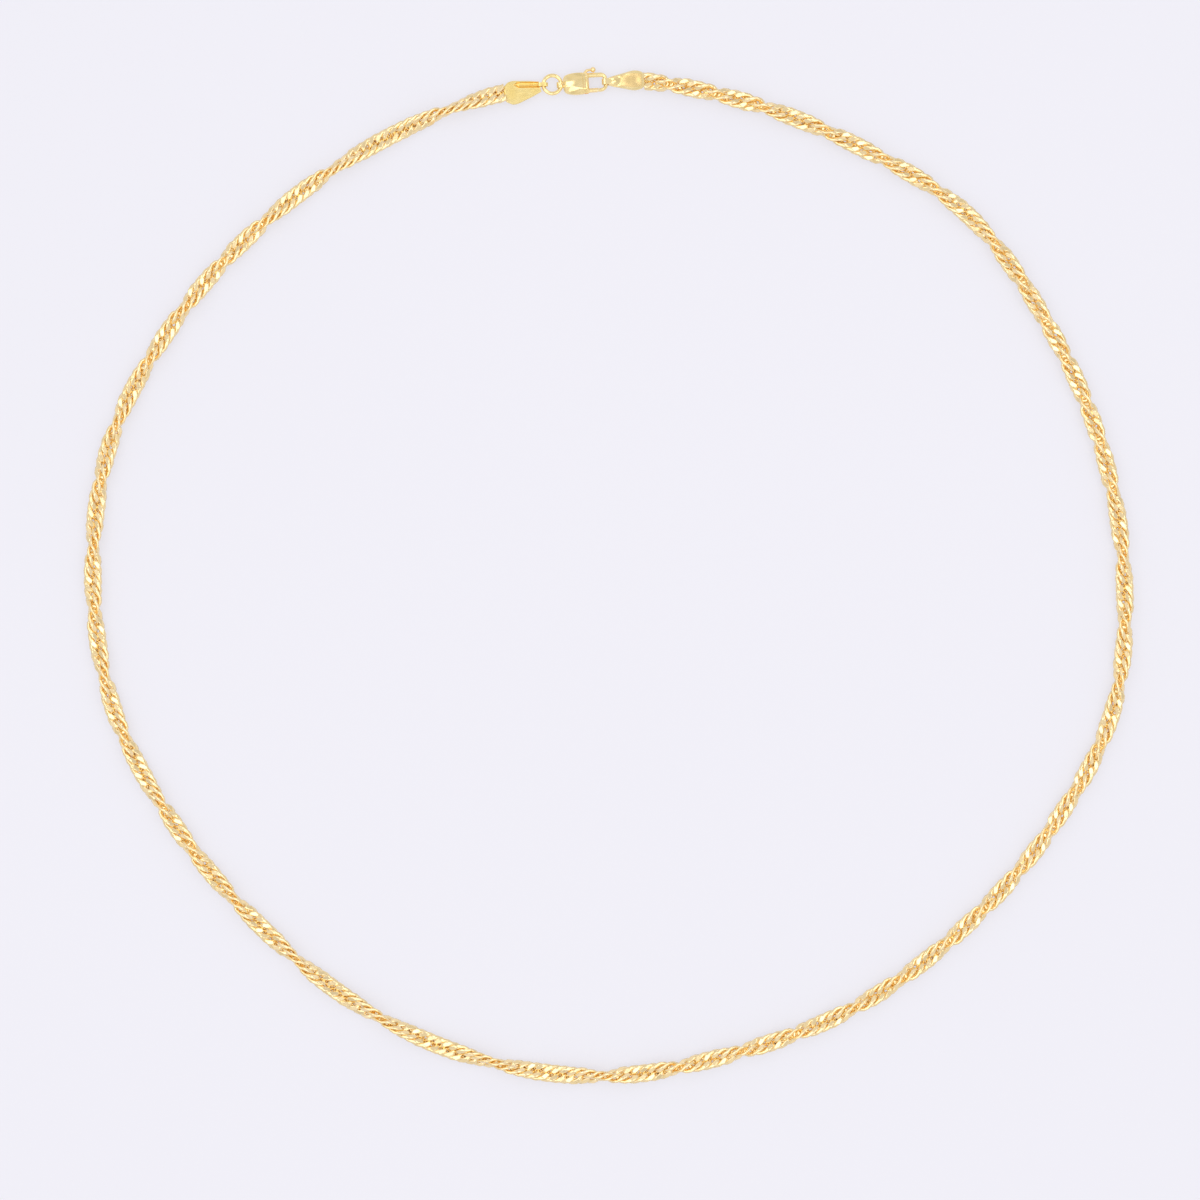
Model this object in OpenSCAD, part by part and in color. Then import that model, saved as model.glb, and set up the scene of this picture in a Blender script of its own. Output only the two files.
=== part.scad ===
// Twisted curb chain necklace, laid on a table in a closed loop with its clasp fastened.
// +Z is up from the table, +Y points from the loop's centre to the clasp, and the origin
// is under the middle of the loop, on the table. All sizes are in millimetres.

/* [Chain] */
// Width of the chain's flat face
chain_w = 2.9; // [2.4:0.1:3]
// Thickness of the chain across its two faces
chain_t = 1; // [0.8:0.1:1.2]
// Clock angle at which the chain leaves the right end tab
chain_from = 4.4; // [4.3:0.1:5]
// Clock angle at which the chain reaches the left end tab
chain_to = 347.7; // [347:0.1:347.8]
// Cross sections along the whole chain
chain_rings = 276; // [240:4:320]

/* [Clasp] */
// Place of the middle of the clasp's eye, across the loop
clasp_x = -2.16; // [-3:0.02:-1]
// Place of the middle of the clasp's eye, up the loop
clasp_y = 78.8; // [78.5:0.1:79.5]
// Turn of the clasp from the X axis
clasp_turn = 4; // [0:1:8]
// Thickness of the barrel where it is thickest
barrel_t = 2.1; // [1.9:0.1:2.4]
// Thickness of the eye's rim and hook
rim_t = 0.96; // [0.8:0.04:1.1]
// Half the height of the eye, outside
eye_outer = 1.6; // [1.5:0.05:1.7]
// Half the height of the eye, inside
eye_inner = 0.84; // [0.7:0.02:0.9]

/* [Lever] */
// Thickness of the lever
lever_t = 0.62; // [0.5:0.02:0.66]
// Radius of the pin that the lever turns on
pin_r = 0.28; // [0.2:0.02:0.3]
// Running clearance between the pin and the lever, and between the pin and the barrel
pin_gap = 0.04; // [0.02:0.01:0.08]
// Radius of the thumb knob
knob_r = 0.44; // [0.36:0.02:0.46]
// Angle that the lever opens through
lever_open = 25; // [15:1:25]

/* [Jump ring] */
// Outer diameter of the jump ring
ring_d = 3.5; // [3.4:0.1:3.6]
// Thickness of the jump ring's wire
ring_wire = 0.62; // [0.5:0.02:0.64]

/* [End tabs] */
// Half the width of the right tab at its widest
right_tab_half = 1.6; // [1.4:0.05:1.7]
// Half the width of the left tab at its widest
left_tab_half = 1.88; // [1.7:0.02:1.9]
// Thickness of a tab's plate
plate_t = 0.6; // [0.5:0.05:0.7]
// Thickness of a tab's folded tongue
tongue_t = 0.3; // [0.25:0.01:0.32]
// Depth of the dish in a tab's face
dish_depth = 0.12; // [0.08:0.01:0.15]

/* [Hidden] */
$fn = 48;

gold = "gold";
pale_gold = "khaki";
deep_gold = "goldenrod";

// Radius of the chain's centre line at every 15 degrees of clock angle, starting at the clasp,
// about a middle that puts the whole necklace over the origin
route_x = -0.06;
route_y = -0.2;
route_step = 15;
route_r = [
    79.5, 79, 79.5, 81.5, 81, 81.5,
    82.5, 83.5, 81.5, 80, 79.5, 79,
    80, 80, 79.5, 79, 80, 82,
    82.5, 82.5, 80.5, 79, 78.5, 79
];
// Clock angles at which the twisted chain stands on edge, half a turn of twist apart
edge_on = [
    7, 12.5, 18, 26, 33.5, 40, 49, 54.5, 59.5, 64, 70, 74.5,
    80, 87.5, 95, 101.5, 109, 114.5, 120, 125.5, 131.5, 137, 144, 150,
    157.5, 164, 171.5, 180, 192.5, 207, 219, 229, 236.5, 242.5, 251.5, 258.5,
    266, 273, 280.5, 287, 295, 302, 309, 315.5, 325, 340.5
];
// How much the twist slows down where the chain lies flat, as a share of half a turn
twist_rest = 0.05;
// Height of the chain's centre line, so that its edge-on places just clear the table
chain_h = chain_w / 2 + 0.05;

// Heights: everything on the clasp lies about one middle plane
mid_z = barrel_t / 2;

// The barrel's sections, tail first: place along the clasp, half width of the flat faces,
// half width at the middle, half thickness
at = 0;
face = 1;
side = 2;
half = 3;
// Half the height of the barrel's upright sides
side_band = 0.42;
barrel = [
    [-5.1, 0.5, 0.95, 0.7],
    [-4.8, 0.54, 1.38, 0.82],
    [-4.2, 0.62, 1.62, 0.94],
    [-3, 0.8, 1.76, barrel_t / 2],
    [-1.9, 0.98, 1.74, barrel_t / 2],
    [-1.05, 1.15, 1.58, 0.92]
];
eye_from = -1.05;
eye_to = 1.45;
eye_corner = 0.45;
hook_end = 2.03;
rim_from = -1.3;
rim_corner = 1.3;
groove = [-1.97, -1.5];
groove_depth = 0.1;

// Tail lug, with a cross hole for the jump ring
lug_x = -5.57;
lug_r = 0.64;
lug_w = 0.96;
lug_hole_r = 0.45;

// Lever: the pin's place, the hub, the gate and the arm to the knob
pin_x = -1.75;
pin_y = -0.5;
hub_r = 0.6;
gate_r = 2.23;
gate_gap = 0.05;
gate_outer = -1.56;
gate_inner = -0.86;
arm_half = 0.25;
arm_bend = 2.25;
arm_lean = 0.12;
knob_x = 1.5;
knob_y = 2.6;
// The slot that the lever turns in: its clearance on the lever's faces and round its edges,
// and a height above the pin that lies outside the barrel
slot_t = lever_t + 0.1;
slot_play = 0.08;
slot_reach = 3;

// Jump ring
ring_x = -9.06;
ring_y = 78.5;
ring_wire_r = ring_wire / 2;
ring_mid_r = ring_d / 2 - ring_wire_r;

// End tabs: where their tongues fold round the hook and round the ring. The left plate hangs
// to one side of its tongue, and is turned from it
left_turn = 181;
left_tab_x = ring_x + ring_mid_r * cos(left_turn);
left_tab_y = ring_y + ring_mid_r * sin(left_turn);
left_plate_side = 0.22;
left_plate_turn = 12;
right_turn = 3;
hook_mid = (eye_to + hook_end) / 2;
right_tab_x = clasp_x + hook_mid * cos(clasp_turn);
right_tab_y = clasp_y + hook_mid * sin(clasp_turn);
right_tab_len = 6.2;
left_tab_len = 6.35;
// A plate's edge from its tongue to the chain, as shares of its length and of its widest half
right_edge = [
    [0.07, 0.42], [0.2, 0.56], [0.35, 0.69], [0.51, 0.84],
    [0.65, 0.97], [0.75, 1], [0.88, 0.9], [1, 0.69]
];
left_edge = [[0.08, 0.46], [0.31, 0.68], [0.55, 0.87], [0.72, 1], [0.86, 0.96], [1, 0.66]];
edge_steps = 4;

// Tongues: half width, where they leave their fold and where they run out into the plate
right_neck_half = 0.5;
left_neck_half = 0.3;
tongue_flat = 1;
tongue_to = 2.6;
tongue_play = 0.1;
fold_corner = 0.12;
// How far the ring's wire curves away over the left tongue's half width, and the hook's
// inner corner over the right one's, which is turned a little from the clasp's line
function arc_drop(r, x) = r - sqrt(r * r - x * x);
ring_sag = arc_drop(ring_mid_r - ring_wire_r, left_neck_half);
hook_sag = arc_drop(eye_corner, right_neck_half - eye_inner + eye_corner)
    + right_neck_half * sin(clasp_turn - right_turn);

// Marks in the plates' faces: a round dish on the right, a pointed trough on the left
dish_x = 4.5;
dish_r = 1.2;
trough_r = 0.5;
trough_lift = 0.2;
trough_from = 0.7;
trough_to = 4.8;
trough_point = 0.8;
trough_tip_r = 0.1;

// Catmull-Rom curve through four values, at the share f of the way from b to c
function smooth(a, b, c, d, f) =
    b + 0.5 * f * (c - a + f * (2 * a - 5 * b + 4 * c - d + f * (3 * (b - c) + d - a)));

function wrapped(i) = route_r[(i + len(route_r)) % len(route_r)];

function route_radius(angle) =
    let (i = floor(angle / route_step), f = angle / route_step - i)
    smooth(wrapped(i - 1), wrapped(i), wrapped(i + 1), wrapped(i + 2), f);

function route_point(angle) =
    let (r = route_radius(angle))
    [route_x + r * sin(angle), route_y + r * cos(angle), chain_h];

function route_outward(angle) =
    let (along = route_point(angle + 0.5) - route_point(angle - 0.5), size = norm(along))
    [-along[1] / size, along[0] / size, 0];

// How many of the list's values lie at or below x
function count_below(list, x) = len([for (v = list) if (v <= x) v]);

// Turn of the chain's face about its own length: a quarter turn at the first edge-on place,
// and half a turn more at each one after it
function twist(angle) =
    let (
        last = len(edge_on) - 2,
        i = min(max(count_below(edge_on, angle) - 1, 0), last),
        f = (angle - edge_on[i]) / (edge_on[i + 1] - edge_on[i])
    )
    90 + 180 * (i + f + twist_rest * sin(360 * f));

// Eight-sided section of the chain, wider than it is thick
function chain_section() = [
    [0.5, 0.22], [0.32, 0.5], [-0.32, 0.5], [-0.5, 0.22],
    [-0.5, -0.22], [-0.32, -0.5], [0.32, -0.5], [0.5, -0.22]
];

function chain_ring(angle) =
    let (
        centre = route_point(angle),
        outward = route_outward(angle),
        turn = twist(angle),
        across = outward * cos(turn) + [0, 0, sin(turn)],
        upright = [0, 0, cos(turn)] - outward * sin(turn)
    )
    [for (p = chain_section()) centre + across * p[0] * chain_w + upright * p[1] * chain_t];

// A solid skinned over a row of sections with equal numbers of points
module loft(rings) {
    sides = len(rings[0]);
    last = (len(rings) - 1) * sides;
    skin = [
        for (i = [0 : len(rings) - 2], j = [0 : sides - 1])
            let (
                a = i * sides + j,
                b = i * sides + (j + 1) % sides,
                c = a + sides,
                d = b + sides
            )
            each [[a, c, b], [b, c, d]]
    ];
    start = [[for (j = [0 : sides - 1]) j]];
    finish = [[for (j = [sides - 1 : -1 : 0]) last + j]];
    polyhedron(points = [for (ring = rings, p = ring) p], faces = concat(start, skin, finish));
}

module rounded_rectangle(x0, x1, y_half, r) {
    translate([x0 + r, -y_half]) square([x1 - x0 - 2 * r, 2 * y_half]);
    translate([x0, r - y_half]) square([x1 - x0, 2 * (y_half - r)]);
    for (x = [x0 + r, x1 - r], y = [r - y_half, y_half - r])
        translate([x, y]) circle(r);
}

// Puts a piece of the clasp, drawn about the eye's middle, in its place
module on_clasp() {
    translate([clasp_x, clasp_y, mid_z]) rotate([0, 0, clasp_turn]) children();
}

module plate(height) {
    translate([0, 0, -height / 2]) linear_extrude(height) children();
}

module chain() {
    color(gold)
        loft([
            for (k = [0 : chain_rings - 1])
                chain_ring(chain_from + (chain_to - chain_from) * k / (chain_rings - 1))
        ]);
}

module jump_ring() {
    color(pale_gold)
        translate([ring_x, ring_y, mid_z])
            rotate_extrude() translate([ring_mid_r, 0]) circle(ring_wire_r, $fn = 24);
}

function barrel_section(row) = [
    [row[at], row[side], -side_band], [row[at], row[side], side_band],
    [row[at], row[face], row[half]], [row[at], -row[face], row[half]],
    [row[at], -row[side], side_band], [row[at], -row[side], -side_band],
    [row[at], -row[face], -row[half]], [row[at], row[face], -row[half]]
];

module tail_lug() {
    rotate([90, 0, 0]) {
        translate([lug_x, 0]) cylinder(r = lug_r, h = lug_w, center = true);
        translate([lug_x, -lug_r, -lug_w / 2]) cube([barrel[1][at] - lug_x, 2 * lug_r, lug_w]);
    }
}

// The eye's rim and hook, open below where the lever's gate closes it
module eye_rim() {
    plate(rim_t) difference() {
        rounded_rectangle(rim_from - rim_corner, hook_end, eye_outer, rim_corner);
        rounded_rectangle(eye_from, eye_to, eye_inner, eye_corner);
        translate([rim_from - 2 * rim_corner, -2 * eye_outer]) square([2 * rim_corner, 4 * eye_outer]);
        intersection() {
            translate([pin_x, pin_y]) circle(gate_r + gate_gap);
            translate([rim_from - 1, -2 * eye_outer]) square([4, 2 * eye_outer - eye_corner]);
        }
    }
}

// Room for the hub, for the arm's swing out through the top, and for the gate's through the
// bottom and into the eye
module lever_slot() {
    plate(slot_t) {
        translate([pin_x, pin_y]) {
            circle(hub_r + slot_play);
            polygon([
                [-hub_r, 0], [-slot_reach * tan(lever_open) - arm_half - slot_play, slot_reach],
                [rim_from - pin_x, slot_reach], [rim_from - pin_x, 0]
            ]);
            translate([-slot_play, -slot_reach])
                square([eye_from - pin_x + slot_play, slot_reach + eye_inner - pin_y]);
        }
    }
}

module clasp_body() {
    color(pale_gold) on_clasp() difference() {
        union() {
            loft([for (row = barrel) barrel_section(row)]);
            tail_lug();
            eye_rim();
        }
        lever_slot();
        translate([pin_x, pin_y]) cylinder(r = pin_r + pin_gap, h = 2 * barrel_t, center = true);
        translate([lug_x, 0]) rotate([90, 0, 0]) cylinder(r = lug_hole_r, h = 4, center = true);
        translate([groove[0], -2, barrel_t / 2 - groove_depth]) cube([groove[1] - groove[0], 4, 1]);
    }
}

module lever_outline() {
    circle(hub_r);
    // the gate, which closes the eye from below
    intersection() {
        circle(gate_r);
        translate([0, gate_outer - pin_y]) square([gate_r, gate_inner - gate_outer]);
    }
    // the arm, which leans over the rim to the knob
    polygon([
        [-arm_half, 0], [arm_half, 0],
        [arm_lean + arm_half, arm_bend], [knob_x, knob_y - arm_half],
        [knob_x, knob_y + arm_half], [arm_lean, knob_y], [arm_lean - arm_half, knob_y - arm_half]
    ]);
}

module clasp_lever() {
    color(deep_gold) on_clasp() translate([pin_x, pin_y]) difference() {
        union() {
            plate(lever_t) lever_outline();
            translate([knob_x, knob_y]) sphere(knob_r);
        }
        cylinder(r = pin_r + pin_gap, h = barrel_t, center = true);
    }
}

module clasp_pin() {
    color(deep_gold) on_clasp()
        translate([pin_x, pin_y]) cylinder(r = pin_r, h = barrel_t - 0.1, center = true);
}

function held(list, i) = list[min(max(i, 0), len(list) - 1)];

function edge_point(edge, t) =
    let (i = floor(t))
    smooth(held(edge, i - 1), held(edge, i), held(edge, i + 1), held(edge, i + 2), t - i);

module tab_outline(edge, length, wide) {
    line = [for (k = [0 : edge_steps * (len(edge) - 1)]) edge_point(edge, k / edge_steps)];
    polygon(concat(
        [for (p = line) [p[0] * length, p[1] * wide]],
        [for (k = [len(line) - 1 : -1 : 0]) [line[k][0] * length, -line[k][1] * wide]]
    ));
}

// The tongue, folded round whatever the tab hangs on: the space inside its fold runs from
// inside_from to inside_to and is 2 * inside_z high
module tongue(neck_half, inside_from, inside_to, inside_z) {
    outside_z = inside_z + tongue_t;
    rotate([90, 0, 0]) plate(2 * neck_half) difference() {
        union() {
            rounded_rectangle(inside_from - tongue_t, tongue_flat, outside_z, fold_corner + tongue_t);
            polygon([
                [inside_to, outside_z], [tongue_flat, outside_z],
                [tongue_to, plate_t / 2], [tongue_to, -plate_t / 2],
                [tongue_flat, -outside_z], [inside_to, -outside_z]
            ]);
        }
        rounded_rectangle(inside_from, inside_to, inside_z, fold_corner);
    }
}

module dish() {
    ball_r = (dish_r * dish_r + dish_depth * dish_depth) / (2 * dish_depth);
    translate([dish_x, 0, plate_t / 2 + ball_r - dish_depth]) sphere(ball_r, $fn = 96);
}

// A groove in line with the tongue, along one edge of the plate, pointed at its far end
module trough() {
    straight = trough_to - trough_from - trough_point;
    translate([trough_from, 0, plate_t / 2 + trough_lift]) rotate([0, 90, 0]) {
        cylinder(r = trough_r, h = straight);
        translate([0, 0, straight]) cylinder(r1 = trough_r, r2 = trough_tip_r, h = trough_point);
    }
}

module end_tab_right() {
    inside = (hook_end - eye_to) / 2 + tongue_play;
    color(pale_gold) translate([right_tab_x, right_tab_y, mid_z]) rotate([0, 0, right_turn])
        difference() {
            union() {
                plate(plate_t) tab_outline(right_edge, right_tab_len, right_tab_half);
                tongue(right_neck_half, -inside - hook_sag, inside, rim_t / 2 + tongue_play);
            }
            dish();
        }
}

module end_tab_left() {
    inside = ring_wire_r + tongue_play;
    color(pale_gold) translate([left_tab_x, left_tab_y, mid_z]) rotate([0, 0, left_turn])
        difference() {
            union() {
                translate([0, left_plate_side]) rotate([0, 0, left_plate_turn])
                    plate(plate_t) tab_outline(left_edge, left_tab_len, left_tab_half);
                tongue(left_neck_half, -inside - ring_sag, inside, inside);
            }
            trough();
        }
}

chain();
jump_ring();
clasp_body();
clasp_lever();
clasp_pin();
end_tab_left();
end_tab_right();
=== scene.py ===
# Twisted curb chain necklace, seen from straight above: the looks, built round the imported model
import math

import bmesh
import bpy
from mathutils import Euler, Matrix, Vector


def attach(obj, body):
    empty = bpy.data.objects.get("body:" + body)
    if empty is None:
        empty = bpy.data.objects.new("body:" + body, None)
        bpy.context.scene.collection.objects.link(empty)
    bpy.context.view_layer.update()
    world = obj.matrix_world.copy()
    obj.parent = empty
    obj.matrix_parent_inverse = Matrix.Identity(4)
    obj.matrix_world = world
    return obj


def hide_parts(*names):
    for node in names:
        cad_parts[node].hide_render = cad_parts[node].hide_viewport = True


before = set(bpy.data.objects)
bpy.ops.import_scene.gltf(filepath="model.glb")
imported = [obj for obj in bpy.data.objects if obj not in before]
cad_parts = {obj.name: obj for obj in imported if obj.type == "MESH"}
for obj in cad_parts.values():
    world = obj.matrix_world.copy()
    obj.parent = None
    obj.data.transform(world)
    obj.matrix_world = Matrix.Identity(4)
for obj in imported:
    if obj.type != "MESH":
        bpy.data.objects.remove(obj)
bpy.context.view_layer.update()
print("frame loaded:", ", ".join(sorted(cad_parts)))

# Shapes are drawn in millimetres and brought to metres when a piece is finished
mm = 0.001


# Camera

cameraSetup = {
    "above": (-1.42, -4.04),  # the middle of the view, millimetres
    "viewWidth": 192,  # at the height of the chain
    "distance": 600,
    "chainHeight": 1.5,
    "sensor": 36,
    "clipStart": 0.01,  # metres
}


def addCamera():
    data = bpy.data.cameras.new("camera")
    data.sensor_width = cameraSetup["sensor"]
    data.lens = cameraSetup["sensor"] * cameraSetup["distance"] / cameraSetup["viewWidth"]
    data.clip_start = cameraSetup["clipStart"]
    camera = bpy.data.objects.new("camera", data)
    x, y = cameraSetup["above"]
    camera.location = (x * mm, y * mm, (cameraSetup["distance"] + cameraSetup["chainHeight"]) * mm)
    bpy.context.scene.collection.objects.link(camera)
    bpy.context.scene.camera = camera


addCamera()
print("camera placed")


# Shader nodes

def addNode(tree, kind, **inputs):
    node = tree.nodes.new(kind)
    for name, value in inputs.items():
        node.inputs[name.replace("_", " ")].default_value = value
    return node


goldGrain = {
    "patchDetail": 3.0,
    "patchFrom": 0.35,  # where in the noise one tint begins to give way to the other
    "patchTo": 0.7,
    "rubTurn": (0.4, 0.2, 0.7),
    "rubSqueeze": (1.0, 7.0, 3.0),  # makes the rubbing marks long and thin
    "rubDetail": 4.0,
    "rubRoughness": 0.6,
    "rubFrom": 0.42,
    "rubTo": 0.72,
    "bumpDepth": 0.00005,  # metres
}


# Polished gold as it really is: two close tints in soft patches, a film of fine rubbing
# marks that dull it here and there, and a slight unevenness of the surface
def makeGoldGroup():
    group = bpy.data.node_groups.new("goldSurface", "ShaderNodeTree")
    for name, kind in (
        ("Bright", "NodeSocketColor"),
        ("Deep", "NodeSocketColor"),
        ("Patch Scale", "NodeSocketFloat"),
        ("Rub Scale", "NodeSocketFloat"),
        ("Polish", "NodeSocketFloat"),
        ("Rubbed", "NodeSocketFloat"),
    ):
        group.interface.new_socket(name, in_out="INPUT", socket_type=kind)
    for name, kind in (
        ("Color", "NodeSocketColor"),
        ("Roughness", "NodeSocketFloat"),
        ("Height", "NodeSocketFloat"),
    ):
        group.interface.new_socket(name, in_out="OUTPUT", socket_type=kind)
    connect = group.links.new
    given = group.nodes.new("NodeGroupInput")
    result = group.nodes.new("NodeGroupOutput")
    place = group.nodes.new("ShaderNodeTexCoord")

    patches = addNode(group, "ShaderNodeTexNoise", Detail=goldGrain["patchDetail"])
    connect(place.outputs["Object"], patches.inputs["Vector"])
    connect(given.outputs["Patch Scale"], patches.inputs["Scale"])
    tint = group.nodes.new("ShaderNodeMix")
    tint.data_type = "RGBA"
    spread = addNode(
        group, "ShaderNodeMapRange", From_Min=goldGrain["patchFrom"], From_Max=goldGrain["patchTo"],
    )
    connect(patches.outputs["Fac"], spread.inputs["Value"])
    connect(spread.outputs["Result"], tint.inputs["Factor"])
    connect(given.outputs["Bright"], tint.inputs["A"])
    connect(given.outputs["Deep"], tint.inputs["B"])
    connect(tint.outputs["Result"], result.inputs["Color"])

    turned = addNode(
        group, "ShaderNodeMapping", Rotation=goldGrain["rubTurn"], Scale=goldGrain["rubSqueeze"],
    )
    connect(place.outputs["Object"], turned.inputs["Vector"])
    rubs = addNode(
        group, "ShaderNodeTexNoise", Detail=goldGrain["rubDetail"], Roughness=goldGrain["rubRoughness"],
    )
    connect(turned.outputs["Vector"], rubs.inputs["Vector"])
    connect(given.outputs["Rub Scale"], rubs.inputs["Scale"])
    dull = addNode(
        group, "ShaderNodeMapRange", From_Min=goldGrain["rubFrom"], From_Max=goldGrain["rubTo"],
    )
    connect(rubs.outputs["Fac"], dull.inputs["Value"])
    connect(given.outputs["Polish"], dull.inputs["To Min"])
    connect(given.outputs["Rubbed"], dull.inputs["To Max"])
    connect(dull.outputs["Result"], result.inputs["Roughness"])
    connect(rubs.outputs["Fac"], result.inputs["Height"])
    return group


goldGroup = makeGoldGroup()

goldFinishes = {
    "chainGold": {
        "bright": (0.98, 0.79, 0.46, 1),
        "deep": (0.95, 0.745, 0.39, 1),
        "patchScale": 700,
        "rubScale": 1500,
        "polish": 0.06,
        "rubbed": 0.15,
        "bump": 0.03,
    },
    "fittingGold": {
        "bright": (0.99, 0.81, 0.43, 1),
        "deep": (0.97, 0.75, 0.33, 1),
        "patchScale": 500,
        "rubScale": 1200,
        "polish": 0.09,
        "rubbed": 0.2,
        "bump": 0.05,
    },
    "leverGold": {
        "bright": (0.99, 0.79, 0.43, 1),
        "deep": (0.97, 0.74, 0.36, 1),
        "patchScale": 500,
        "rubScale": 1200,
        "polish": 0.14,
        "rubbed": 0.28,
        "bump": 0.05,
    },
    "tabGold": {
        "bright": (0.94, 0.76, 0.33, 1),
        "deep": (0.93, 0.7, 0.24, 1),
        "patchScale": 400,
        "rubScale": 1100,
        "polish": 0.24,
        "rubbed": 0.38,
        "bump": 0.06,
    },
    # the right tab's dish: a rougher satin finish, and a darker olive tint that is painted shade,
    # standing in for the dish reflecting darker surroundings
    "satinShadeGold": {
        "bright": (0.88, 0.66, 0.31, 1),
        "deep": (0.85, 0.61, 0.25, 1),
        "patchScale": 600,
        "rubScale": 1600,
        "polish": 0.2,
        "rubbed": 0.32,
        "bump": 0.12,
    },
    # a deep amber tint painted into the left tab's trough: painted shade for light bounced about inside
    # the recess
    "amberShadeGold": {
        "bright": (0.97, 0.66, 0.2, 1),
        "deep": (0.93, 0.56, 0.13, 1),
        "patchScale": 900,
        "rubScale": 1500,
        "polish": 0.2,
        "rubbed": 0.34,
        "bump": 0.05,
    },
}


def makeGold(name):
    finish = goldFinishes[name]
    material = bpy.data.materials.new(name)
    material.use_nodes = True
    tree = material.node_tree
    shader = tree.nodes["Principled BSDF"]
    shader.inputs["Metallic"].default_value = 1.0
    surface = tree.nodes.new("ShaderNodeGroup")
    surface.node_tree = goldGroup
    surface.inputs["Bright"].default_value = finish["bright"]
    surface.inputs["Deep"].default_value = finish["deep"]
    surface.inputs["Patch Scale"].default_value = finish["patchScale"]
    surface.inputs["Rub Scale"].default_value = finish["rubScale"]
    surface.inputs["Polish"].default_value = finish["polish"]
    surface.inputs["Rubbed"].default_value = finish["rubbed"]
    bump = addNode(tree, "ShaderNodeBump", Strength=finish["bump"], Distance=goldGrain["bumpDepth"])
    tree.links.new(surface.outputs["Color"], shader.inputs["Base Color"])
    tree.links.new(surface.outputs["Roughness"], shader.inputs["Roughness"])
    tree.links.new(surface.outputs["Height"], bump.inputs["Height"])
    tree.links.new(bump.outputs["Normal"], shader.inputs["Normal"])
    return material


chainGold = makeGold("chainGold")
fittingGold = makeGold("fittingGold")
leverGold = makeGold("leverGold")
tabGold = makeGold("tabGold")
# the dish's satin finish, darkened with painted shade
satinShadeGold = makeGold("satinShadeGold")
# the trough's amber tint is painted shade
amberShadeGold = makeGold("amberShadeGold")
print("gold finishes made")


# Shared shape helpers

def shadeByAngle(bm, degrees):
    for face in bm.faces:
        face.smooth = True
    for edge in bm.edges:
        edge.smooth = edge.calc_face_angle(0) < math.radians(degrees)


def closeEnds(bm):
    openEdges = [edge for edge in bm.edges if edge.is_boundary]
    bmesh.ops.holes_fill(bm, edges=openEdges, sides=0)


def edgesAt(bm, verts):
    own = set(verts)
    return [edge for edge in bm.edges if own.intersection(edge.verts)]


def facesAt(bm, verts):
    own = set(verts)
    return [face for face in bm.faces if own.intersection(face.verts)]


def spinRound(bm, geom, middle, axis, steps):
    bmesh.ops.spin(
        bm, geom=geom, cent=middle, axis=axis, angle=math.radians(360), steps=steps, use_merge=True,
    )


# A wire bent into a closed ring about Z
def wireRing(bm, radius, wire, sides, steps):
    start = Matrix.Translation((radius, 0, 0)) @ Matrix.Rotation(math.radians(90), 4, "X")
    bmesh.ops.create_circle(bm, segments=sides, radius=wire, matrix=start)
    spinRound(bm, bm.verts[:] + bm.edges[:], (0, 0, 0), (0, 0, 1), steps)


# A flat ring with square edges, its section drawn beside the middle and spun about the axis
def washer(bm, middle, axis, inner, outer, half, steps=28):
    section = [(inner, -half), (outer, -half), (outer, half), (inner, half)]
    corners = [Vector(middle) + Vector((r, 0, 0)) + Vector(axis) * along for r, along in section]
    face = bm.faces.new([bm.verts.new(corner) for corner in corners])
    spinRound(bm, [face] + list(face.edges) + list(face.verts), middle, axis, steps)
    bmesh.ops.delete(bm, geom=[face], context="FACES_ONLY")


# A closed ring of points carried from place to place; a place is a matrix whose Z runs
# along the sweep and whose X and Y hold the section's two half sizes
def sweep(bm, places, sides=16, corners=None):
    if corners:
        ring = [bm.verts.new(places[0] @ Vector((x, y, 0))) for x, y in corners]
        edges = [bm.edges.new((a, b)) for a, b in zip(ring, ring[1:] + ring[:1])]
    else:
        made = bmesh.ops.create_circle(bm, segments=sides, radius=1, matrix=places[0])
        edges = edgesAt(bm, made["verts"])
    for before, after in zip(places, places[1:]):
        grown = bmesh.ops.extrude_edge_only(bm, edges=edges)["geom"]
        verts = [item for item in grown if isinstance(item, bmesh.types.BMVert)]
        edges = [
            item for item in grown
            if isinstance(item, bmesh.types.BMEdge) and all(v in verts for v in item.verts)
        ]
        bmesh.ops.transform(bm, matrix=after @ before.inverted(), verts=verts)
    closeEnds(bm)


# The places of a sweep along points in one plane; normal stands square to that plane
def placesAlong(points, halfSizes, normal):
    places = []
    for i, point in enumerate(points):
        before = Vector(points[max(i - 1, 0)])
        after = Vector(points[min(i + 1, len(points) - 1)])
        along = (after - before).normalized()
        side = normal.cross(along)
        wide, thick = halfSizes[i]
        turn = Matrix((side * wide, normal * thick, along)).transposed().to_4x4()
        places.append(Matrix.Translation(point) @ turn)
    return places


# Rings of points with equal numbers of points, skinned one to the next, ends closed
def skin(bm, rings):
    loops = []
    for ring in rings:
        verts = [bm.verts.new(point) for point in ring]
        loops.append([bm.edges.new(pair) for pair in zip(verts, verts[1:] + verts[:1])])
    for before, after in zip(loops, loops[1:]):
        bmesh.ops.bridge_loops(bm, edges=before + after)
    closeEnds(bm)


def roundEdges(bm, edges, offset, segments):
    bmesh.ops.bevel(
        bm, geom=edges, offset=offset, segments=segments, profile=0.5, affect="EDGES",
        material=-1, clamp_overlap=True,
    )


def extrudeOutline(bm, outline, bottom, top):
    face = bm.faces.new([bm.verts.new((x, y, bottom)) for x, y in outline])
    grown = bmesh.ops.extrude_face_region(bm, geom=[face])["geom"]
    verts = [item for item in grown if isinstance(item, bmesh.types.BMVert)]
    bmesh.ops.translate(bm, vec=(0, 0, top - bottom), verts=verts)


# Everything past a plane taken off, and the cut closed
def cutOff(bm, geom, point, normal):
    bmesh.ops.bisect_plane(bm, geom=geom, plane_co=point, plane_no=normal, clear_outer=True)
    closeEnds(bm)


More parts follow.
